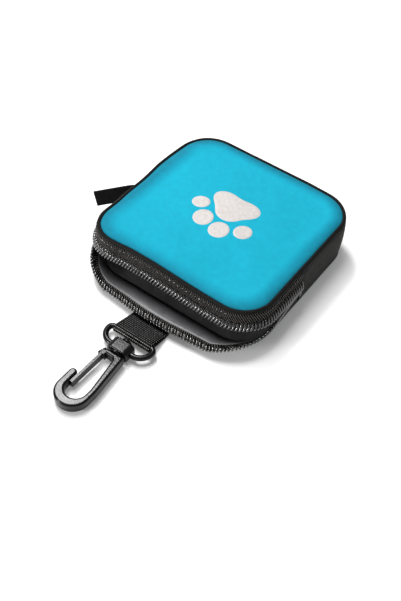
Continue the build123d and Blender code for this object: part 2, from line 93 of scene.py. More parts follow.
# ---------------- sizes of the padded panels
PANEL_R = 18.5  # corner radius of the padded panels
CUSHION_HALF = PANEL_HALF + 0.4  # a padded panel stands out a little past its solid
CUSHION_STEPS = 168  # points round each ring of a panel
EDGE_ROUND = 10.0  # how far in from its seam a padded panel rounds over
EDGE_FULLNESS = 0.62  # power of that rounding; a smaller one is fuller
EDGE_INSETS = (0.0, 0.15, 0.5, 1.1, 2.0, 3.2, 4.6, 6.2, 8.2, 10.0)  # of the rings near the seam
TOP_RING_STEP = 2.0  # between the rings from there to the middle
INNER_SCALES = (0.02, 0.12, 0.22, 0.32, 0.42, 0.52, 0.62, 0.72, 0.82, 0.9, 0.95)  # hidden rings
SEAM_OFFSET = 0.9  # of a panel's seam and piping above or below the wall
LID_SEAM_Z = WALL_HIGH + SEAM_OFFSET
LID_CROWN = 1.4  # how far the lid swells above its edge
LID_INNER_Z = HEIGHT - 3.0  # of the lid cushion's hidden inner face
LID_BOARD_Z = (HEIGHT - 3.1, HEIGHT - 3.6)  # top and underside of the stiffening board
BASE_INNER_Z = 3.5
BASE_LOW_Z = 0.12
PANEL_UNEVENNESS = 0.35
UNEVEN_PATCH = 26.0  # size of its patches
SEAM_TUCK = 0.985  # scale of the ring that is tucked in under the seam
MID_HEIGHT = HEIGHT / 2  # what lies above it belongs to the lid

SWELL_LEFT = 4.9  # how far the lid's closed back-left stands out, back and up
SWELL_BACK = 1.6
SWELL_UP = 1.0
LIFT_FRONT = 2.4  # how far the lid's front-left edge stands up
CORNER_OUT = 2.2  # how far its front-left corner stands out each way

CLOTH_FRAMES = 20  # frames that the lid's simulation runs
LID_PRESSURE = 4.0
LID_CAP = 1.0  # how far the simulation may move a point of the lid
SEWN_RINGS = len(INNER_SCALES) + 2  # rings of a padded panel that its seam holds
CENTRE_RINGS = 5  # smallest rings, which move as one
EVEN_OUT = range(-4, 5)  # neighbours round a ring whose movement is averaged

# ---------------- sizes of the wall and the zip
WALL_R = 21.0  # corner radius of the side wall's outside
PIPING_R = 1.3
PIPING_IN = 1.35  # how far in from the wall the piping's middle runs
LINING_T = 0.35
LINING_SCALE = 1.008  # of the flat linings' outline, which the wall's lining meets
LINING_GAP = 0.1  # between a flat lining and its solid
LINING_WAVE = 0.25
TAPE_T = 0.8
BACKING_T = 0.5  # of the strip that the upper coil is sewn to
COIL_W = 5.4
LIP_COIL_W = 4.4  # of the lower coil, narrower than the upper
COIL_T = 2.6
COIL_WIRE_R = 0.56
COIL_PITCH = 2.0
LOOP_STEPS = 14  # points round one loop
COIL_SEWN_IN = 0.5  # how much of a loop's root its leaning hinges on
COIL_SLANT = 0.55  # how far a loop's tip leads its root
COIL_SQUARENESS = 0.75  # power that flattens a loop's sides
COIL_HEAD = 0.28  # how much thicker the wire is at a loop's tip
COIL_FLARE = 28.0  # how far the open upper coil leans out, in degrees
FLARE_GROWTH = 20.0  # length over which it comes to lean
UPPER_TAPE_W = 10.0  # of the tape before it is sewn in
UPPER_TAPE_LOW = UPPER_EDGE + COIL_W * 0.55
WALL_TOP = WALL_HIGH + 0.3  # upper edge of the wall's cloth and of the upper tape

TAB_MARGIN = 1.2  # of the fabric tabs from the wall's edges
TAB_THICK = 0.55

# ---------------- sizes of the lower lip
LIP_SEAM_Z = WALL_LOW + 0.1
SIDE_LEAN = 15.0  # out of the vertical at the end of the side, in degrees
FRONT_LEAN = 85.0
LIP_W_CLOSED = 11.6  # the lip's width where the zip is closed, and at places of the mouth
LIP_W_SIDE = 11.2
LIP_W_CORNER = 12.4
LIP_W_FRONT = 13.5
CORNER_TUCK = 1.8  # how much narrower the lip is half-way round a corner
LIP_SAG = 3.0  # extra reach of the lower lip's middle
SAG_HALF = 45.0  # how far to each side of the middle it sags
LIP_CURL = (0.72, 1.28)  # share of its lean that the lip has at its seam and at its edge
LIP_PATH_STEPS = 32
LIP_TAPE_W = 13.0  # of the tape before it is sewn in

# ---------------- sizes of the strap
STRAP_LAYER = 0.8
STRAP_MID_LOW = 0.1 + STRAP_LAYER / 2  # height of the lower layer's middle
STRAP_END_Y = -57.2  # under the front seam of the pouch
STRAP_RISE_Y = -68.5  # where the upper layer starts to rise to the bar
BAR_LOOP_R = 2.3
RIB_PITCH = 1.5  # of the strap's woven ribs
RIB_DEPTH = 0.28
STITCH_Y = -66.0  # rows sewn through both layers
STITCH_STEP = 1.6

# ---------------- sizes of the print
PRINT_LIFT = 0.12  # how far the ink stands off the knit
PRINT_SUNK = 0.25  # how far its hidden underside lies in it
PAW_PAD_CENTRE = (-0.3, 8.0)
PAW_PAD_BREADTH = 1.24  # how much broader than long the pad is
PAW_TOES = (  # middle, width, length and turn in degrees
    ((-18.6, 0.4), 11.0, 9.8, 20),
    ((-10.0, -9.6), 12.2, 13.0, 10),
    ((3.2, -12.6), 12.2, 13.0, -6),
    ((15.2, -5.6), 10.4, 11.6, -20),
)


# ---------------- mesh helpers
def new_object(name, points, faces, uvs=None, smooth=True):
    """Makes a mesh object from points in millimetres; uvs hold one pair per face corner."""
    mesh = bpy.data.meshes.new(name)
    mesh.from_pydata([tuple(float(c) * MM for c in p) for p in points], [], faces)
    if uvs is not None:
        layer = mesh.uv_layers.new(name="UVMap")
        layer.data.foreach_set("uv", np.asarray(uvs, np.float32).ravel())
    mesh.polygons.foreach_set("use_smooth", [smooth] * len(mesh.polygons))
    mesh.set_sharp_from_angle(angle=radians(60))
    mesh.update()
    piece = bpy.data.objects.new(name, mesh)
    bpy.context.scene.collection.objects.link(piece)
    return piece


def distances_along(points):
    """Distance from the first point of a line to each of its points."""
    return np.concatenate([[0], np.cumsum(np.linalg.norm(np.diff(points, axis=0), axis=1))])


def read_off(marks, reach, rows):
    """Rows of values at some distances along a line that has a row at each of its own."""
    return np.stack([np.interp(marks, reach, column) for column in np.asarray(rows, float).T], axis=1)


def directions(line):
    """Unit tangent at each point of a line."""
    tangent = np.gradient(line, axis=0)
    return tangent / np.linalg.norm(tangent, axis=1)[:, None]


def plane_directions(line):
    """Unit tangent and normal at each point of a line in a plane."""
    tangent = directions(line)
    return tangent, np.stack([tangent[:, 1], -tangent[:, 0]], axis=1)


def loft_parts(sections, ring=False):
    """Points, faces and uvs of a skin over closed sections, capped unless the run is a ring.

    The uvs are millimetres along the run and round the section.
    """
    sections = np.asarray(sections, float)
    count, around = sections.shape[:2]
    along = distances_along(sections.mean(axis=1))
    middle = sections[count // 2]
    across = distances_along(np.vstack([middle, middle[:1]]))
    faces, uvs = [], []
    for i in range(count if ring else count - 1):
        following = (i + 1) % count
        far = along[i + 1] if i + 1 < count else along[i] + 1.0
        for j in range(around):
            k = (j + 1) % around
            faces.append((i * around + j, following * around + j, following * around + k, i * around + k))
            near_v, far_v = across[j], across[j + 1]
            uvs += [(along[i], near_v), (far, near_v), (far, far_v), (along[i], far_v)]
    if not ring:
        faces.append(tuple(range(around)))
        faces.append(tuple((count - 1) * around + j for j in reversed(range(around))))
        uvs += [(0.0, across[j]) for j in range(around)]
        uvs += [(along[-1], across[j]) for j in reversed(range(around))]
    return sections.reshape(-1, 3), faces, uvs


def join_parts(parts):
    """Joins (points, faces, uvs) groups into one."""
    points, faces, uvs = [], [], []
    total = 0
    for some_points, some_faces, some_uvs in parts:
        points.append(np.asarray(some_points, float))
        faces += [tuple(index + total for index in face) for face in some_faces]
        uvs += some_uvs
        total += len(some_points)
    return np.vstack(points), faces, uvs


def loft(name, sections, ring=False):
    """One object lofted over closed sections."""
    return new_object(name, *loft_parts(sections, ring))


def thicken(line, thickness):
    """Closed outline of a strip: a plane line, half its thickness to each side, and blunt ends."""
    line = np.asarray(line, float)
    tangent, normal = plane_directions(line)
    nose = thickness * 0.35
    start = line[0] - tangent[0] * nose
    end = line[-1] + tangent[-1] * nose
    outer = line + normal * thickness / 2
    inner = line - normal * thickness / 2
    return np.vstack([outer, end, inner[::-1], start])


def circle(radius, steps=8):
    """Points round a circle in its own plane."""
    angles = np.linspace(0, tau, steps, endpoint=False)
    return np.stack([np.cos(angles) * radius, np.sin(angles) * radius], axis=1)


def tube_parts(line, radius, reference, steps=6):
    """A tube along a line of points. reference is a direction, or one per point, off the line."""
    line = np.asarray(line, float)
    tangent = directions(line)
    reference = np.broadcast_to(np.asarray(reference, float), line.shape)
    side = reference - tangent * (reference * tangent).sum(axis=1)[:, None]
    side /= np.linalg.norm(side, axis=1)[:, None]
    other = np.cross(tangent, side)
    radius = np.broadcast_to(np.asarray(radius, float), len(line))
    ring = circle(1.0, steps)
    offsets = ring[None, :, 0, None] * side[:, None] + ring[None, :, 1, None] * other[:, None]
    return loft_parts(line[:, None] + offsets * radius[:, None, None])


# ---------------- the run round the pouch
def outline_point(half, radius, distance):
    """Point and outward direction on a rounded square.

    The distance runs from the middle of the left side, round the front to the right side, and on
    round the back.
    """
    flat = half - radius
    quarter = radius * pi / 2
    half_way = 4 * flat + 2 * quarter
    turns, rest = divmod(distance, half_way)
    sign = 1 if int(turns) % 2 == 0 else -1
    if rest <= flat:
        point, normal = (-half, -rest), (-1, 0)
    elif rest <= flat + quarter:
        angle = (rest - flat) / radius
        normal = (-cos(angle), -sin(angle))
        point = (-flat + radius * normal[0], -flat + radius * normal[1])
    elif rest <= 3 * flat + quarter:
        point, normal = (-flat + rest - flat - quarter, -half), (0, -1)
    elif rest <= 3 * flat + 2 * quarter:
        angle = (rest - 3 * flat - quarter) / radius
        normal = (sin(angle), -cos(angle))
        point = (flat + radius * normal[0], -flat + radius * normal[1])
    else:
        point, normal = (half, -half_way + rest), (1, 0)
    return np.array(point) * sign, np.array(normal) * sign


WALL_FLAT = WALL_HALF - WALL_R
HALF_WAY = 4 * WALL_FLAT + pi * WALL_R


def at_left(y):
    """Distance round the wall of a place on the left side."""
    return -y


def at_right(y):
    """Distance round the wall of a place on the right side."""
    return HALF_WAY + y


FRONT_MIDDLE = HALF_WAY / 2
OPEN_FROM = at_left(HINGE_Y - 3)  # where the upper coil starts to lean
SPINE_RANGE = (at_right(HINGE_Y + 0.4), 2 * HALF_WAY - CLOSED_END_Y - 1.4)
UPPER_RANGE = (at_left(CLOSED_END_Y + 1.2), at_right(HINGE_Y + 0.6))
MOUTH_END = at_right(HINGE_Y - 0.2)


class Run:
    """A stretch of the side wall's outside: points, outward directions and distances."""

    def __init__(self, start, stop, step):
        count = max(2, ceil((stop - start) / step))
        self.distances = np.linspace(start, stop, count + 1)
        found = [outline_point(WALL_HALF, WALL_R, distance) for distance in self.distances]
        self.points = np.array([point for point, _ in found])
        self.normals = np.array([normal for _, normal in found])

    def __len__(self):
        return len(self.distances)

    def place(self, index, outward, up):
        """A point that far out from the wall and that high."""
        x, y = self.points[index] + self.normals[index] * outward
        return (x, y, up)

    def direction(self, index, outward, up):
        """A direction across the wall there, that much outward and that much up."""
        return (*self.normals[index] * outward, up)

    def section(self, index, outline):
        """An outline of (outward, up) pairs, stood up across the wall."""
        return [self.place(index, outward, up) for outward, up in outline]


def soften(points, amount, scale, seed):
    """Small smooth unevenness of cloth, the same on every run."""
    moved = np.array(points, float)
    for point in moved.reshape(-1, 3):
        place = Vector(point / scale) + Vector((seed, -seed, seed * 0.5))
        shift = (noise(place), noise(place + Vector((7.1, 0, 0))), noise(place + Vector((0, 9.3, 0))))
        point += np.array(shift) * amount
    return moved


def ramp(value, start, end):
    """Smooth step from 0 at start to 1 at end."""
    share = np.clip((value - start) / (end - start), 0, 1)
    return share * share * (3 - 2 * share)


def swell(points):
    """The closed back-left of the lid stands out over the wall, from the slider to the back."""
    moved = np.array(points, float)
    x, y, z = moved[..., 0], moved[..., 1], moved[..., 2]
    high = ramp(z, 21, 29)
    behind = (0.66 * ramp(y, -48, -16) + 0.2 * ramp(y, -5, 14)) * (1 - 0.4 * ramp(y, 14, 48))
    left = ramp(x, 40, -50)
    moved[..., 0] = x - SWELL_LEFT * high * behind * left
    moved[..., 1] = y + SWELL_BACK * high * ramp(y, -5, 50) * ramp(x, 57, 20)
    moved[..., 2] = z + SWELL_UP * high * behind * left * ramp(y, -5, 40)
    return moved


def shape_lid(points):
    """Swells the lid's back-left and lifts its front-left edge and corner."""
    moved = swell(points)
    x, y = moved[..., 0].copy(), moved[..., 1].copy()
    corner = CORNER_OUT * ramp(x, -24, -52) * ramp(y, -24, -50)
    moved[..., 0] -= corner
    moved[..., 1] -= corner
    moved[..., 2] += LIFT_FRONT * ramp(x, 28, -15) * ramp(y, -14, -50)
    return moved


# ---------------- materials
def rgb(colour):
    """Three parts of a colour, for which one number means a grey."""
    return colour if isinstance(colour, tuple) else (colour, colour, colour)


class Pattern:
    """A Principled material, with short ways to add and join its shader nodes."""

    def __init__(self, name, **sockets):
        self.material = bpy.data.materials.new(name)
        self.material.use_nodes = True
        self.nodes = self.material.node_tree.nodes
        self.links = self.material.node_tree.links
        self.shader = self.nodes["Principled BSDF"]
        for socket, value in sockets.items():
            self.shader.inputs[socket.replace("_", " ")].default_value = value

    def add(self, kind, **settings):
        node = self.nodes.new(kind)
        for key, value in settings.items():
            setattr(node, key, value)
        return node

    def feed(self, node, socket, value):
        if isinstance(value, bpy.types.NodeSocket):
            self.links.new(value, node.inputs[socket])
        else:
            node.inputs[socket].default_value = value

    def math(self, operation, *values):
        node = self.add("ShaderNodeMath", operation=operation)
        for index, value in enumerate(values):
            self.feed(node, index, value)
        return node.outputs[0]

    def times(self, one, other):
        return self.math("MULTIPLY", one, other)

    def plus(self, one, other):
        return self.math("ADD", one, other)

    def scaled(self, value, factor, base):
        """A value times a factor, plus a base."""
        return self.math("MULTIPLY_ADD", value, factor, base)

    def axes(self, source):
        """The X, Y and Z of a texture coordinate; source is UV or Object."""
        split = self.add("ShaderNodeSeparateXYZ")
        self.feed(split, 0, self.add("ShaderNodeTexCoord").outputs[source])
        return split.outputs

    def over_object(self, kind, **inputs):
        """A texture node over object coordinates, with those inputs set."""
        node = self.add(kind)
        self.feed(node, "Vector", self.add("ShaderNodeTexCoord").outputs["Object"])
        for socket, value in inputs.items():
            node.inputs[socket].default_value = value
        return node

    def noise(self, scale, detail=3.0, roughness=0.5):
        """Noise, whose scale is patches to the metre."""
        node = self.over_object("ShaderNodeTexNoise", Scale=scale, Detail=detail, Roughness=roughness)
        return node.outputs["Fac"]

    def cells(self, scale):
        """Distance to the nearest of many scattered points, for grains and loops."""
        return self.over_object("ShaderNodeTexVoronoi", Scale=scale).outputs["Distance"]

    def ridge(self, value, pitch):
        """A smooth ridge from 0 to 1 that repeats every pitch of the value."""
        return self.scaled(self.math("SINE", self.times(value, tau / pitch)), 0.5, 0.5)

    def tint(self, amount, stops):
        """Base colour by a ramp over the amount."""
        node = self.add("ShaderNodeValToRGB")
        self.feed(node, 0, amount)
        elements = node.color_ramp.elements
        while len(elements) < len(stops):
            elements.new(0.5)
        for element, (place, colour) in zip(elements, stops):
            element.position = place
            element.color = (*rgb(colour), 1)
        self.feed(self.shader, "Base Color", node.outputs[0])

    def roughen(self, amount, low, high):
        """Roughness between two values."""
        node = self.add("ShaderNodeMapRange")
        self.feed(node, 0, amount)
        node.inputs["To Min"].default_value = low
        node.inputs["To Max"].default_value = high
        self.feed(self.shader, "Roughness", node.outputs[0])

    def grainy(self, grain, stops, rough, depth):
        """Lets one fine pattern shade, roughen and bump the surface; gives back the material."""
        self.tint(grain, stops)
        self.roughen(grain, *rough)
        return self.bump((grain, depth))

    def bump(self, *layers):
        """Bumps of (height, depth in metres), each on top of the last; gives back the material."""
        normal = None
        for height, depth in layers:
            node = self.add("ShaderNodeBump")
            node.inputs["Distance"].default_value = depth
            self.feed(node, "Height", height)
            if normal:
                self.feed(node, "Normal", normal)
            normal = node.outputs[0]
        self.feed(self.shader, "Normal", normal)
        return self.material


KNIT_ROW = 0.0009  # of the knit, in metres, as are the two below
KNIT_LOOP = 0.0007
KNIT_WANDER = 0.0003  # how far a column of loops strays from row to row


def knit_material():
    """Cyan knit face: rows of fine loops with soft mottling, and painted shade that darkens it towards its
    seam all round.
    """
    p = Pattern("knit_cyan", Specular_IOR_Level=0.15, Sheen_Weight=0.03, Sheen_Roughness=0.4)
    x, y, _ = p.axes("Object")
    columns = p.plus(x, p.times(p.ridge(y, 2 * KNIT_ROW), KNIT_WANDER))
    knit = p.times(p.ridge(y, KNIT_ROW), p.ridge(columns, KNIT_LOOP))
    mottle = p.noise(260.0, 5.0, 0.65)
    mixed = p.plus(p.times(knit, 0.12), p.times(mottle, 0.34))
    # Painted shade: the colour darkens near the seam all round, standing in for the rounded edge turning
    # away from the light.
    flat = (PANEL_HALF - PANEL_R) * MM
    beyond = [p.math("MAXIMUM", p.math("SUBTRACT", p.math("ABSOLUTE", axis), flat), 0.0) for axis in (x, y)]
    reach = p.math("SQRT", p.plus(*(p.times(part, part) for part in beyond)))
    painted_seam_shade = p.add("ShaderNodeMapRange", interpolation_type="SMOOTHSTEP")
    p.feed(painted_seam_shade, "Value", reach)
    painted_seam_shade.inputs["From Min"].default_value = (PANEL_R - 9.5) * MM
    painted_seam_shade.inputs["From Max"].default_value = (PANEL_R + 1.0) * MM
    shade = p.scaled(painted_seam_shade.outputs[0], -0.58, p.plus(mixed, 0.5))
    dark, dim = (0.003, 0.14, 0.205), (0.004, 0.24, 0.355)
    clear, bright = (0.005, 0.32, 0.45), (0.008, 0.38, 0.52)
    p.tint(shade, [(0.0, dark), (0.35, dim), (0.68, clear), (0.85, bright)])
    p.roughen(mottle, 0.78, 0.95)
    return p.bump((p.noise(45.0, 2.0), 0.0004), (mottle, 0.00012), (knit, 0.00009))


def oxford_material():
    """Black plain weave of the side wall, with paler worn threads."""
    p = Pattern("oxford_black", Specular_IOR_Level=0.08)
    along, across, _ = p.axes("UV")
    pitch = 1.3
    warp = p.ridge(along, pitch)
    weft = p.ridge(across, pitch)
    over = p.ridge(p.plus(along, across), 2 * pitch)
    weave = p.plus(p.times(warp, over), p.times(weft, p.math("SUBTRACT", 1.0, over)))
    flecks = p.noise(900.0, 4.0, 0.7)
    mixed = p.times(weave, p.scaled(flecks, 0.9, 0.35))
    p.tint(mixed, [(0.15, 0.001), (0.45, (0.008, 0.0075, 0.007)), (0.85, (0.11, 0.105, 0.10))])
    p.roughen(weave, 0.6, 0.8)
    return p.bump((p.noise(60.0, 2.0), 0.0004), (weave, 0.00016), (flecks, 0.00005))


def twill_material():
    """Black zip tape: a steep twill, with a painted highlight along each twill line, broken up by threads
    and random flecks.
    """
    p = Pattern("twill_tape", Specular_IOR_Level=0.05)
    along, across, _ = p.axes("UV")
    # Painted highlight: the thin pale diagonal lines are light caught on the twill's ridges.
    twill = p.math("POWER", p.ridge(p.scaled(across, 0.55, along), 1.35), 2.5)
    threads = p.ridge(across, 0.45)
    flecks = p.noise(800.0, 4.0, 0.7)
    rib = p.times(twill, p.scaled(threads, 0.35, 0.65))
    mixed = p.times(rib, p.scaled(flecks, 0.9, 0.4))
    p.tint(mixed, [(0.12, 0.001), (0.4, (0.006, 0.0055, 0.005)), (0.8, (0.22, 0.205, 0.19))])
    p.roughen(twill, 0.75, 0.5)
    return p.bump((rib, 0.0003), (flecks, 0.00005))


def satin_material():
    """Dark grey coated satin lining with a soft shine and light creasing."""
    p = Pattern("satin_lining", Specular_IOR_Level=0.5, Coat_Weight=0.2, Coat_Roughness=0.35)
    along, across, _ = p.axes("UV")
    threads = p.times(p.ridge(along, 0.35), p.ridge(across, 0.35))
    creases = p.noise(110.0, 3.0, 0.55)
    p.tint(creases, [(0.3, (0.08, 0.08, 0.083)), (0.7, (0.115, 0.115, 0.12))])
    p.roughen(creases, 0.34, 0.5)
    return p.bump((creases, 0.0006), (threads, 0.00003))


def webbing_material():
    """Black strap webbing: ribs across the strap are geometry, and this adds its threads and a painted
    highlight along each rib's crest.
    """
    p = Pattern("webbing_black", Specular_IOR_Level=0.04)
    along, _, _ = p.axes("UV")
    x, _, _ = p.axes("Object")
    ribs = p.math("COSINE", p.times(along, tau / RIB_PITCH))
    crest = p.scaled(ribs, 0.5, 0.5)
    threads = p.ridge(x, 0.0012)
    flecks = p.noise(1100.0, 3.0, 0.6)
    # Painted highlight: pale grey on the crest of each rib, broken up by the threads and flecks.
    painted_crest_highlight = p.times(p.math("POWER", crest, 1.3), p.scaled(threads, 0.4, 0.6))
    mixed = p.times(painted_crest_highlight, p.scaled(flecks, 0.9, 0.5))
    p.tint(mixed, [(0.4, 0.001), (0.62, 0.012), (0.95, (0.36, 0.36, 0.35))])
    p.roughen(painted_crest_highlight, 0.35, 0.6)
    return p.bump((flecks, 0.00004))


def thread_material():
    """Twisted black sewing thread."""
    p = Pattern("thread_black", Specular_IOR_Level=0.8, Coat_Weight=0.6, Coat_Roughness=0.12)
    along, across, _ = p.axes("UV")
    twist = p.ridge(p.plus(along, across), 0.3)
    return p.grainy(twist, [(0.2, 0.004), (0.8, 0.03)], (0.14, 0.28), 0.00006)


def piping_material():
    """Black bound edge: a fine diagonal bias tape over cord."""
    p = Pattern("piping_black", Specular_IOR_Level=0.08)
    along, across, _ = p.axes("UV")
    bias = p.ridge(p.plus(along, across), 0.55)
    flecks = p.noise(900.0, 3.0, 0.6)
    p.tint(p.times(bias, flecks), [(0.1, 0.002), (0.7, (0.02, 0.02, 0.019))])
    p.roughen(bias, 0.5, 0.7)
    return p.bump((bias, 0.00006), (p.noise(300.0, 2.0), 0.0002))


def coil_material():
    """Glossy black nylon monofilament."""
    p = Pattern("nylon_coil", Specular_IOR_Level=0.8, Coat_Weight=0.8, Coat_Roughness=0.12)
    return p.grainy(p.noise(1500.0, 3.0, 0.6), [(0.3, 0.003), (0.8, 0.016)], (0.1, 0.2), 0.00002)


def plastic_material():
    """Black acetal of the hook: glossy, with a fine moulded grain."""
    p = Pattern("acetal_black", Specular_IOR_Level=0.24)
    grain = p.cells(1300.0)
    clouds = p.noise(140.0, 3.0, 0.6)
    scuffs = p.noise(2200.0, 2.0, 0.7)
    p.tint(clouds, [(0.3, 0.0012), (0.75, (0.004, 0.004, 0.0042))])
    p.roughen(p.times(scuffs, p.scaled(clouds, 1.0, 0.3)), 0.14, 0.36)
    return p.bump((grain, 0.000022), (scuffs, 0.000012), (clouds, 0.00006))


def lacquer_material():
    """Black lacquered die-cast zip slider, with worn spots."""
    p = Pattern("lacquer_black", Metallic=0.35, Coat_Weight=0.5, Coat_Roughness=0.2)
    stops = [(0.55, (0.010, 0.010, 0.011)), (0.8, (0.09, 0.088, 0.085))]
    return p.grainy(p.noise(700.0, 5.0, 0.7), stops, (0.22, 0.5), 0.00004)


def pull_material():
    """Matt black moulded pull with a fine grain."""
    p = Pattern("pull_black", Specular_IOR_Level=0.05)
    grain = p.cells(1600.0)
    clouds = p.noise(200.0, 3.0, 0.6)
    p.tint(clouds, [(0.3, 0.002), (0.8, 0.006)])
    p.roughen(clouds, 0.42, 0.68)
    return p.bump((grain, 0.00005))


def print_material():
    """Off-white screen print that lets the knit under it show."""
    p = Pattern("print_white")
    x, y, _ = p.axes("Object")
    knit = p.times(p.ridge(y, KNIT_ROW), p.ridge(x, KNIT_LOOP))
    mottle = p.noise(500.0, 5.0, 0.7)
    stops = [(0.35, (0.42, 0.39, 0.375)), (0.62, (0.51, 0.48, 0.465)), (0.95, (0.57, 0.545, 0.53))]
    p.tint(p.scaled(knit, 0.25, mottle), stops)
    p.roughen(mottle, 0.5, 0.75)
    return p.bump((knit, 0.00006), (mottle, 0.00008))


def foam_material():
    """Grey closed-cell foam board, hidden inside the panels."""
    p = Pattern("foam_grey")
    stops = [(0.1, (0.12, 0.12, 0.13)), (0.6, (0.24, 0.24, 0.25))]
    return p.grainy(p.cells(900.0), stops, (0.8, 0.95), 0.0002)


KNIT = knit_material()
OXFORD = oxford_material()
TAPE = twill_material()
SATIN = satin_material()
WEBBING = webbing_material()
THREAD = thread_material()
PIPING = piping_material()
COIL = coil_material()
ACETAL = plastic_material()
LACQUER = lacquer_material()
PULL = pull_material()
PRINT = print_material()
FOAM = foam_material()


def dress(piece, made, slot, *nodes):
    """Gives a piece its material and hides the CAD nodes that it stands for. The slot is not used."""
    piece.data.materials.append(made)
    if nodes:
        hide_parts(*nodes)
    return piece


def still_piece(*dressing):
    """A dressed piece of the pouch's body."""
    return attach(dress(*dressing), "pouch")


def lid_piece(*dressing):
    """A dressed piece of the lid, with its transform baked into its mesh."""
    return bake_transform(dress(*dressing))


def lip_piece(side, *dressing):
    """A dressed half of the lower lip, with its transform baked into its mesh. The side is not used."""
    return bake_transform(dress(*dressing))


# ---------------- camera
def place_camera():
    """Looks down at the pouch from the mouth's right-hand end."""
    azimuth, elevation, roll = radians(32.70), radians(49.04), radians(4.34)
    distance = 487.3 * MM
    target = Vector((11.23, -38.63, 0.0)) * MM
    data = bpy.data.cameras.new("camera")
    data.sensor_fit = "VERTICAL"
    data.sensor_height = 36.0
    data.lens = 50.1
    camera = bpy.data.objects.new("camera", data)
    bpy.context.scene.collection.objects.link(camera)
    turn = Matrix.Rotation(azimuth, 4, "Z") @ Matrix.Rotation(pi / 2 - elevation, 4, "X")
    turn = turn @ Matrix.Rotation(roll, 4, "Z")
    camera.matrix_world = Matrix.Translation(target) @ turn @ Matrix.Translation((0, 0, distance))
    bpy.context.scene.camera = camera


place_camera()


# ---------------- padded lid and base
def panel_ring(scale, height, unevenness=0.0, seed=0.0):
    """One ring of a padded panel: its outline scaled about the middle, at a height."""
    perimeter = 8 * (CUSHION_HALF - PANEL_R) + tau * PANEL_R
    ring = []
    for step in range(CUSHION_STEPS):
        (x, y), _ = outline_point(CUSHION_HALF, PANEL_R, perimeter * step / CUSHION_STEPS)
        x, y = x * scale, y * scale
        lift = unevenness * noise(Vector((x / UNEVEN_PATCH + seed, y / UNEVEN_PATCH, seed)))
        ring.append((x, y, height + lift))
    return ring


def cushion_sections(seam_z, top_z, crown, inner_z, seed):
    """Rings from the hidden inner face, round the seam, over the rounded edge to the crown."""
    rings = [panel_ring(scale, inner_z) for scale in INNER_SCALES]
    rings.append(panel_ring(SEAM_TUCK, (seam_z + inner_z) / 2))
    top_insets = np.arange(EDGE_ROUND + TOP_RING_STEP, CUSHION_HALF - 1, TOP_RING_STEP)
    for inset in (*EDGE_INSETS, *top_insets):
        share = min(1.0, inset / EDGE_ROUND)
        rise = (1 - (1 - share) ** 2) ** EDGE_FULLNESS
        dome = crown * (1 - (1 - inset / CUSHION_HALF) ** 2)
        height = seam_z + (top_z - seam_z) * rise + dome
        rings.append(panel_ring(1 - inset / CUSHION_HALF, height, PANEL_UNEVENNESS * share, seed))
    return rings


def puff(piece, pressure, cap):
    """Blows a padded panel up as cloth held along its seam, and caps how far a point may move."""
    mesh = piece.data
    rest = np.array([vertex.co for vertex in mesh.vertices])
    group = piece.vertex_groups.new(name="sewn")
    group.add(list(range(SEWN_RINGS * CUSHION_STEPS)), 1.0, "REPLACE")
    modifier = piece.modifiers.new("puff", "CLOTH")
    cloth = modifier.settings
    cloth.quality = 6
    cloth.use_pressure = True
    cloth.uniform_pressure_force = pressure
    cloth.effector_weights.gravity = 0
    cloth.vertex_group_mass = group.name
    cloth.tension_stiffness = 8
    cloth.compression_stiffness = 8
    cloth.bending_stiffness = 0.6
    for frame_number in range(1, CLOTH_FRAMES + 1):
        bpy.context.scene.frame_set(frame_number)
    evaluated = piece.evaluated_get(bpy.context.evaluated_depsgraph_get())
    blown = np.array([vertex.co for vertex in evaluated.to_mesh().vertices])
    evaluated.to_mesh_clear()
    moved = (blown - rest).reshape(-1, CUSHION_STEPS, 3)
    moved[-CENTRE_RINGS:] = moved[-CENTRE_RINGS - 1].mean(axis=0)
    moved = np.mean([np.roll(moved, shift, axis=1) for shift in EVEN_OUT], axis=0).reshape(-1, 3)
    far = np.linalg.norm(moved, axis=1)
    held = moved * (np.minimum(far, cap * MM) / np.maximum(far, 1e-9))[:, None]
    piece.modifiers.remove(modifier)
    piece.vertex_groups.remove(group)
    bpy.context.scene.frame_set(1)
    mesh.vertices.foreach_set("co", (rest + held).ravel())
    mesh.update()


def padded_panel(name, seam_z, top_z, crown, inner_z, seed):
    """A padded panel; the one that faces up is the lid's, and takes the lid's shape."""
    sections = cushion_sections(seam_z, top_z, crown, inner_z, seed)
    piece = loft(name, shape_lid(sections) if top_z > seam_z else sections)
    return piece


lid_cushion = padded_panel("lid_cushion", LID_SEAM_Z, HEIGHT - 0.1, LID_CROWN, LID_INNER_Z, seed=2.0)
puff(lid_cushion, LID_PRESSURE, LID_CAP)
lid_piece(lid_cushion, KNIT, "panel_fabric", "lid_panel_rear", "lid_panel_front")

base_cushion = padded_panel("base_cushion", HEIGHT - LID_SEAM_Z, BASE_LOW_Z, 0.0, BASE_INNER_Z, seed=5.0)
for vertex in base_cushion.data.vertices:
    vertex.co.z = max(vertex.co.z, 0.0)
still_piece(base_cushion, KNIT, "panel_fabric", "base_panel")

board_top, board_underside = LID_BOARD_Z
board_rings = [panel_ring(scale, board_top) for scale in INNER_SCALES]
board_rings += [panel_ring(scale, board_underside) for scale in reversed(INNER_SCALES)]
board = loft("lid_board", shape_lid(board_rings))
lid_piece(board, FOAM, "stiffener_foam", "lid_foam_rear", "lid_foam_front")


# ---------------- piping
def piping(name, height):
    """The bound edge round a panel, as one closed ring."""
    run = Run(0, 2 * HALF_WAY, 1.6)
    outline = circle(PIPING_R, 10) + np.array((-PIPING_IN, height))
    sections = [run.section(index, outline) for index in range(len(run) - 1)]
    sections = soften(sections, 0.12, 9.0, height)
    return loft(name, shape_lid(sections) if height > MID_HEIGHT else sections, ring=True)


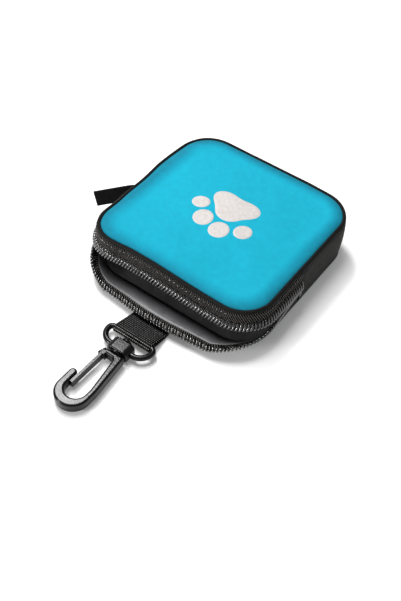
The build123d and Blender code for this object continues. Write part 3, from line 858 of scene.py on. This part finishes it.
lid_piping = piping("lid_piping", LID_SEAM_Z)
lid_piece(lid_piping, PIPING, "piping_cord", "lid_piping_rear", "lid_piping_front")
still_piece(piping("base_binding", WALL_LOW - SEAM_OFFSET), PIPING, "piping_cord", "base_piping")


# ---------------- side wall
def length_of(stretch):
    """Length of a stretch of the run."""
    return stretch[1] - stretch[0]


def cloth(piece, width, length, rests_on, goes_with=(), held="stretched"):
    """Does nothing; none of its arguments is used."""


def wall_strip(name, stretch, low, high, outward, bulge, thickness, wave, seed, shape=swell):
    """A strip of cloth stood up along a stretch of the wall, bowed outward in the middle."""
    run = Run(*stretch, 2.0)
    share = np.linspace(0, 1, 10)
    line = np.stack([outward + bulge * np.sin(pi * share), low + (high - low) * share], axis=1)
    outline = thicken(line, thickness)
    sections = [run.section(index, outline) for index in range(len(run))]
    return loft(name, shape(soften(sections, wave, 16.0, seed)))


SPINE_LOW = WALL_LOW - 0.4
spine = wall_strip(
    "spine_cloth", SPINE_RANGE, SPINE_LOW, WALL_TOP,
    outward=-0.55, bulge=0.9, thickness=0.9, wave=0.5, seed=3.0,
)
still_piece(spine, OXFORD, "wall_fabric", "spine_gusset")
cloth(spine, WALL_TOP - SPINE_LOW, length_of(SPINE_RANGE), ["base_cushion"])

wall_skin = wall_strip(
    "wall_lining_skin", SPINE_RANGE, FLOOR_TOP, CEILING,
    outward=-1.9, bulge=0.3, thickness=LINING_T, wave=0.4, seed=4.0,
)
still_piece(wall_skin, SATIN, "lining_satin", "wall_lining")
cloth(wall_skin, CEILING - FLOOR_TOP, length_of(SPINE_RANGE), ["spine_cloth"])


# ---------------- floor and lid linings
def flat_lining(name, height, seed):
    """A sheet of lining over the whole panel."""
    scales = (*INNER_SCALES, 0.98, LINING_SCALE)
    rings = [panel_ring(scale, height, LINING_WAVE, seed) for scale in scales]
    rings += [panel_ring(scale, height + LINING_T, LINING_WAVE, seed) for scale in reversed(scales)]
    on_lid = height > MID_HEIGHT
    piece = loft(name, shape_lid(rings) if on_lid else rings)
    return piece


floor_skin = flat_lining("floor_lining_skin", FLOOR_TOP - LINING_GAP, seed=6.0)
still_piece(floor_skin, SATIN, "lining_satin", "floor_lining")
lid_skin = flat_lining("lid_lining_skin", CEILING - LINING_GAP, seed=8.0)
lid_piece(lid_skin, SATIN, "lining_satin", "lid_lining_rear", "lid_lining_front")


# ---------------- upper zip
upper_tape = wall_strip(
    "zip_tape_upper", UPPER_RANGE, UPPER_TAPE_LOW, WALL_TOP,
    outward=-TAPE_T / 2, bulge=0.5, thickness=TAPE_T, wave=0.3, seed=2.0, shape=shape_lid,
)
lid_piece(upper_tape, TAPE, "zip_tape", "zip_tape_upper_rear", "zip_tape_upper_front")

upper_skin = wall_strip(
    "lid_side_lining", UPPER_RANGE, UPPER_EDGE + COIL_W + 0.8, CEILING,
    outward=-TAPE_T - 0.6, bulge=0.3, thickness=LINING_T, wave=0.25, seed=5.0, shape=shape_lid,
)
lid_piece(upper_skin, SATIN, "lining_satin")


def coil(name, centres, across, through, width, phase=0.0):
    """A wound zip coil along a line.

    across points to the teeth tips and through out of the tape, one of each per centre. phase is
    the share of a turn by which the winding starts ahead.
    """
    reach = distances_along(centres)
    marks = np.linspace(0, reach[-1], int(reach[-1] / COIL_PITCH * LOOP_STEPS) + 2)
    centre, out, face = (read_off(marks, reach, rows) for rows in (centres, across, through))
    angle = tau * (marks / COIL_PITCH + phase)
    round_trip = np.array((np.cos(angle), np.sin(angle)))
    wide, thick = np.sign(round_trip) * np.abs(round_trip) ** COIL_SQUARENESS
    running = np.cross(out, face)
    line = centre + out * (wide * (width / 2 - COIL_WIRE_R))[:, None]
    line = line + face * (thick * (COIL_T / 2 - COIL_WIRE_R))[:, None]
    line = line + running * (wide * COIL_SLANT)[:, None]
    radius = COIL_WIRE_R * (1 + COIL_HEAD * np.clip(np.cos(angle), 0, 1) ** 4)
    return new_object(name, *tube_parts(line, radius, running, steps=6))


def upper_coil_rows(run):
    """Middle, tooth direction and face direction of the upper coil, which leans out once open."""
    centres, across, through = [], [], []
    reach = COIL_W / 2 - COIL_SEWN_IN
    for index, distance in enumerate(run.distances):
        lean = radians(COIL_FLARE * ramp(distance, OPEN_FROM, OPEN_FROM + FLARE_GROWTH))
        height = UPPER_EDGE + COIL_W / 2 + reach * (1 - cos(lean))
        centres.append(run.place(index, 0.1 + reach * sin(lean), height))
        across.append(run.direction(index, sin(lean), -cos(lean)))
        through.append(run.direction(index, cos(lean), sin(lean)))
    return shape_lid(centres), np.array(across), np.array(through)


def coil_backing(name, centres, across, through):
    """The strip of tape that a coil is sewn to, from its root nearly to its tips."""
    root = centres - across * COIL_W * 0.45
    tip = centres + across * (COIL_W * 0.5 - 1.0)
    half = through * BACKING_T / 2
    return loft(name, np.stack([root + half, tip + half, tip - half, root - half], axis=1))


upper_rows = upper_coil_rows(Run(at_left(CLOSED_END_Y), MOUTH_END, 1.5))
upper_coil = coil("zip_coil_upper", *upper_rows, COIL_W)
lid_piece(upper_coil, COIL, "zip_coil", "zip_coil_upper_rear", "zip_coil_upper_front")
upper_backing = coil_backing("zip_coil_backing", *upper_rows)
lid_piece(upper_backing, TAPE, "zip_tape")
cloth(upper_tape, UPPER_TAPE_W, length_of(UPPER_RANGE), ["lid_cushion"], [upper_skin, upper_backing])


# ---------------- lower lip
def lip_lean(run, index):
    """Lean out of the vertical, in degrees, and width of the lip at a place of its run."""
    x, y = run.points[index]
    side = abs(run.normals[index][0])
    if y > HINGE_Y:
        return 0.0, LIP_W_CLOSED
    if side > 0.9999:
        share = (HINGE_Y - y) / (HINGE_Y + WALL_FLAT)
        return SIDE_LEAN * share, LIP_W_SIDE + (LIP_W_CORNER - LIP_W_SIDE) * share
    heading = atan2(abs(run.normals[index][1]), side) / (pi / 2)
    width = LIP_W_CORNER + (LIP_W_FRONT - LIP_W_CORNER) * heading - CORNER_TUCK * sin(pi * heading)
    if abs(x) < SAG_HALF:
        width += LIP_SAG * cos(pi / 2 * x / SAG_HALF) ** 2
    return SIDE_LEAN + (FRONT_LEAN - SIDE_LEAN) * heading**1.4, width


def lip_line(lean, width, start, stop, offset, steps=8):
    """A line up the lip at an offset from its middle, and the directions at its end."""
    outward, up = 0.0, LIP_SEAM_Z
    marks = np.linspace(0, width, LIP_PATH_STEPS + 1)
    path = []
    for mark in marks:
        angle = radians(lean * (LIP_CURL[0] + (LIP_CURL[1] - LIP_CURL[0]) * mark / width))
        path.append((outward, up, sin(angle), cos(angle)))
        outward += sin(angle) * width / LIP_PATH_STEPS
        up += cos(angle) * width / LIP_PATH_STEPS
    x, z, s, c = read_off(np.linspace(start, stop, steps + 1), marks, path).T
    line = np.stack([x - TAPE_T / 2 - c * offset, z + s * offset], axis=1)
    return line, (s[-1], c[-1])


def lip_strip(name, stretch, start, stop_back, offset, thickness):
    """A strip along the lower lip, from a start up its width to a distance back from its edge."""
    run = Run(*stretch, 1.6)
    sections = []
    for index in range(len(run)):
        lean, width = lip_lean(run, index)
        line, _ = lip_line(lean, width, start, width - stop_back, offset)
        sections.append(run.section(index, thicken(line, thickness)))
    return loft(name, soften(sections, 0.2, 14.0, 7.0))


def lip_coil(name, stretch):
    """The wound coil along the lower lip's edge."""
    run = Run(*stretch, 1.5)
    centres, across, through = [], [], []
    for index in range(len(run)):
        lean, width = lip_lean(run, index)
        line, (s, c) = lip_line(lean, width, 0, width - LIP_COIL_W / 2 + 0.3, -0.35)
        centres.append(run.place(index, *line[-1]))
        across.append(run.direction(index, s, c))
        through.append(run.direction(index, c, -s))
    return coil(name, centres, across, through, LIP_COIL_W, phase=0.5)


LIP_HALVES = {  # which side, its stretch of the run, and the CAD nodes along it
    "left": (-1, (at_left(CLOSED_END_Y), FRONT_MIDDLE), ("left", "front", "rear")),
    "right": (1, (FRONT_MIDDLE, MOUTH_END), ("right",)),
}
for half_name, (side, stretch, places) in LIP_HALVES.items():
    tape = lip_strip(f"zip_tape_lower_{half_name}_half", stretch, 0, 0.6, 0, TAPE_T)
    lip_piece(side, tape, TAPE, "zip_tape", *(f"zip_tape_lower_{place}" for place in places))
    lining = lip_strip(f"lip_lining_{half_name}_half", stretch, 0.4, LIP_COIL_W + 0.5, 0.62, LINING_T)
    lip_piece(side, lining, SATIN, "lining_satin", *(f"lip_lining_{place}" for place in places[:2]))
    cloth(tape, LIP_TAPE_W, length_of(stretch), ["base_cushion"], [lining])
    teeth = lip_coil(f"zip_coil_lower_{half_name}_half", stretch)
    lip_piece(side, teeth, COIL, "zip_coil", *(f"zip_coil_lower_{place}" for place in places))


# ---------------- strap
def strap_route():
    """The strap's middle line in the plane across it: under the lip, round the bar and back."""
    lower = [(STRAP_END_Y, STRAP_MID_LOW), (FOLD_Y, STRAP_MID_LOW)]
    angles = np.linspace(radians(-80), radians(-286), 26)
    wrap = [(BAR_Y + BAR_LOOP_R * cos(angle), BAR_Z + BAR_LOOP_R * sin(angle)) for angle in angles]
    upper_z = STRAP_MID_LOW + STRAP_LAYER + 0.05
    upper = [(STRAP_RISE_Y, upper_z), (STRAP_END_Y, upper_z)]
    return np.array(lower + wrap + upper)


def strap_webbing():
    """Ribbed webbing folded round the eye's bar."""
    route = strap_route()
    reach = distances_along(route)
    marks = np.linspace(0, reach[-1], int(reach[-1] / (RIB_PITCH / 6)) + 1)
    line = read_off(marks, reach, route)
    smoothed = 7
    padded = np.pad(line, ((smoothed // 2, smoothed // 2), (0, 0)), mode="edge")
    kernel = np.ones(smoothed) / smoothed
    line = np.stack([np.convolve(padded[:, axis], kernel, mode="valid") for axis in range(2)], axis=1)
    _, normal = plane_directions(line)
    rib = 0.5 + 0.5 * np.cos(tau * marks / RIB_PITCH)
    columns = np.linspace(-STRAP_HALF + 0.3, STRAP_HALF - 0.3, 15)
    sections = []
    for (y, z), (ny, nz), crest in zip(line, normal, rib):
        half = STRAP_LAYER / 2 - RIB_DEPTH * (1 - crest)
        top = [(x, y + ny * half, z + nz * half) for x in columns]
        bottom = [(x, y - ny * half, z - nz * half) for x in reversed(columns)]
        right_edge = (STRAP_HALF, y, z)
        left_edge = (-STRAP_HALF, y, z)
        sections.append(top + [right_edge] + bottom + [left_edge])
    piece = loft("strap_webbing", sections)
    cloth(piece, 2 * STRAP_HALF, marks[-1], ["swivel_eye"], held="folded")
    return piece


strap = dress(strap_webbing(), WEBBING, "webbing", "strap_anchor", "strap_loop")
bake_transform(strap)


# ---------------- stitches
def stitch_parts(starts, ends, normals, rise=0.28, radius=0.17):
    """Stitches between pairs of points, each bowed up off the cloth."""
    parts = []
    for start, end, normal in zip(starts, ends, normals):
        shares = np.linspace(0, 1, 6)
        line = start + (end - start) * shares[:, None]
        line = line + np.asarray(normal) * (np.sin(pi * shares) * rise - 0.12)[:, None]
        parts.append(tube_parts(line, radius, normal, steps=5))
    return parts


def stitch_row(points, normals, length=2.2, gap=0.7):
    """Even stitches along a line of points with a normal at each."""
    reach = distances_along(points)
    begin = np.arange(gap, reach[-1] - length, length + gap)
    starts, ends = (read_off(marks, reach, points) for marks in (begin, begin + length))
    return stitch_parts(starts, ends, read_off(begin + length / 2, reach, normals))


def stitches(name, rows):
    """All rows of one seam as one object."""
    return new_object(name, *join_parts([part for row in rows for part in row]))


def wall_row(run, outward, up):
    """A stitch row along the wall."""
    places = range(len(run))
    points = shape_lid([run.place(index, outward, up) for index in places])
    return stitch_row(points, [run.direction(index, 1, 0) for index in places])


def coil_binding(centres, across, through):
    """The zip's own sewing: a thick slanted stitch over the root of every loop."""
    reach = distances_along(centres)
    marks = np.arange(COIL_PITCH, reach[-1], COIL_PITCH)
    middle, out, face = (read_off(marks, reach, rows) for rows in (centres, across, through))
    feet = middle - out * 0.1 + face * COIL_T * 0.5
    heads = middle - out * (COIL_W * 0.5 + 0.2) + face * COIL_T * 0.25 - np.cross(out, face) * COIL_SLANT
    return stitch_parts(feet, heads, face, rise=0.45, radius=0.38)


tape_row = wall_row(Run(at_left(CLOSED_END_Y), UPPER_RANGE[1], 1.5), 0.35, WALL_HIGH - 1.2)
lid_piece(stitches("tape_stitches", [tape_row]), THREAD, "thread")
lid_piece(stitches("coil_stitches", [coil_binding(*upper_rows)]), THREAD, "thread")

strap_row_x = np.linspace(-STRAP_HALF + 1.5, STRAP_HALF - 1.5, 12)
strap_rows = []
for row_y in (STITCH_Y, STITCH_Y - STITCH_STEP):
    row_points = [(x, row_y, 0.1 + 2 * STRAP_LAYER + 0.05) for x in strap_row_x]
    strap_rows.append(stitch_row(row_points, [(0, 0, 1)] * len(row_points)))
still_piece(stitches("strap_stitches", strap_rows), THREAD, "thread", "strap_stitching")


# ---------------- fabric tabs at the zip's ends
def end_tab(name, side, near_y, far_y, node):
    """A folded patch of wall cloth over one end of the zip."""
    low, high = WALL_LOW + TAB_MARGIN, WALL_HIGH - TAB_MARGIN
    rows = []
    for y in np.linspace(near_y, far_y, 9):
        edge = abs(2 * (y - near_y) / (far_y - near_y) - 1)
        thick = TAB_THICK * sqrt(max(0.0, 1 - edge**4)) + 0.25
        line = []
        for share in np.linspace(0, 1, 15):
            fall = sqrt(max(0.0, 1 - (2 * share - 1) ** 8))
            line.append((side * (WALL_HALF + 0.2 + thick * fall), y, low + (high - low) * share))
        back = [(side * (WALL_HALF - 0.1), y, z) for _, y, z in reversed(line)]
        rows.append(line + back)
    still_piece(loft(name, swell(rows)), OXFORD, "wall_fabric", node)


end_tab("zip_tab_left", -1, CLOSED_END_Y + 1.4, CLOSED_END_Y + 7.4, "zip_end_tab_left")
end_tab("zip_tab_right", 1, HINGE_Y + 0.6, HINGE_Y + 5.6, "zip_end_tab_right")


# ---------------- print on the lid
lid_corners = [vertex.co for vertex in lid_cushion.data.vertices]
lid_faces = [polygon.vertices[:] for polygon in lid_cushion.data.polygons]
lid_surface = BVHTree.FromPolygons(lid_corners, lid_faces)


def lid_height(x, y):
    """Height of the lid's top over a point, in millimetres."""
    hit = lid_surface.ray_cast(Vector((x * MM, y * MM, 0.1)), Vector((0, 0, -1)))[0]
    return hit.z / MM


def printed_shape(outline, centre):
    """A thin closed film over the lid inside an outline."""
    rings = []
    underside = (-PRINT_SUNK, (0.02, 0.5, 0.97))
    top = (PRINT_LIFT, (1.0, 0.97, 0.8, 0.6, 0.4, 0.2, 0.02))
    for lift, scales in (underside, top):
        for scale in scales:
            ring = [(centre[0] + dx * scale, centre[1] + dy * scale) for dx, dy in outline]
            rings.append([(x, y, lid_height(x, y) + lift * (1 if scale < 1 else 0)) for x, y in ring])
    return loft_parts(rings)


def oval(width, length, turn, steps=40):
    """An oval outline about its middle, turned by degrees."""
    angles = np.linspace(0, tau, steps, endpoint=False)
    x, y = np.cos(angles) * width / 2, np.sin(angles) * length / 2
    c, s = cos(radians(turn)), sin(radians(turn))
    return np.stack([x * c - y * s, x * s + y * c], axis=1)


def pad_outline(steps=90):
    """A plain rounded triangle with its broad side away from the toes."""
    angles = np.linspace(0, tau, steps, endpoint=False)
    radius = 11.2 + 1.9 * np.cos(3 * (angles - pi / 6)) + 0.6 * np.cos(2 * angles)
    return np.stack([np.cos(angles) * radius * PAW_PAD_BREADTH, np.sin(angles) * radius], axis=1)


film = [printed_shape(pad_outline(), PAW_PAD_CENTRE)]
for centre, width, length, turn in PAW_TOES:
    film.append(printed_shape(oval(width, length, turn), centre))
paw = new_object("paw_print", *join_parts(film))
lid_piece(paw, PRINT, "print_ink", "paw_print_rear", "paw_print_front")


# ---------------- CAD pieces that stay
KEPT = (
    (ACETAL, ("hook_body", "hook_gate", "swivel_eye", "stem_retainer")),
    (LACQUER, ("slider_body", "slider_bail")),
    (LACQUER, ("zip_bottom_stop", "zip_top_stop_upper", "zip_top_stop_lower")),
    (PULL, ("pull_tab",)),
    (FOAM, ("base_foam",)),
)
for made, nodes in KEPT:
    for node in nodes:
        for material_slot in frame["nodes"][node].material_slots:
            material_slot.material = made


# ---------------- floor and light
def floor_material():
    """Plain white paper floor that glows faintly."""
    glow = {"Emission_Strength": 0.12, "Emission_Color": (1, 1, 1, 1)}
    p = Pattern("floor_white", Base_Color=(0.9, 0.9, 0.9, 1), Roughness=0.8, **glow)
    return p.bump((p.noise(400.0, 2.0), 0.00002))


def area_light(name, place, aim, size, power):
    """A soft round light at a place, aimed at a point; both are in metres."""
    data = bpy.data.lights.new(name, "AREA")
    data.shape = "DISK"
    data.size = size
    data.energy = power
    light = bpy.data.objects.new(name, data)
    light.location = place
    light.rotation_euler = (Vector(aim) - Vector(place)).to_track_quat("-Z", "Y").to_euler()
    bpy.context.scene.collection.objects.link(light)


def light_studio():
    """White surroundings, a key light from above, a low fill in front and a sheen from behind."""
    world = bpy.data.worlds.new("studio")
    world.use_nodes = True
    background = world.node_tree.nodes["Background"]
    background.inputs["Color"].default_value = (1, 1, 1, 1)
    background.inputs["Strength"].default_value = 0.3
    bpy.context.scene.world = world
    bpy.context.scene.view_settings.view_transform = "Standard"
    area_light("key", (-0.27, 0.0, 1.05), (0, -0.03, 0), 0.5, 7.6)
    area_light("front_fill", (-0.46, -0.84, 0.2), (0, -0.05, 0.015), 0.22, 6.5)
    area_light("sheen", (-0.42, 0.21, 0.82), (-0.01, -0.13, 0), 0.2, 5.5)


FLOOR_HALF = 1500
floor_corners = [(x * FLOOR_HALF, y * FLOOR_HALF, 0) for x, y in ((-1, -1), (1, -1), (1, 1), (-1, 1))]
floor = new_object("floor", floor_corners, [(0, 1, 2, 3)])
floor.data.materials.append(floor_material())
light_studio()
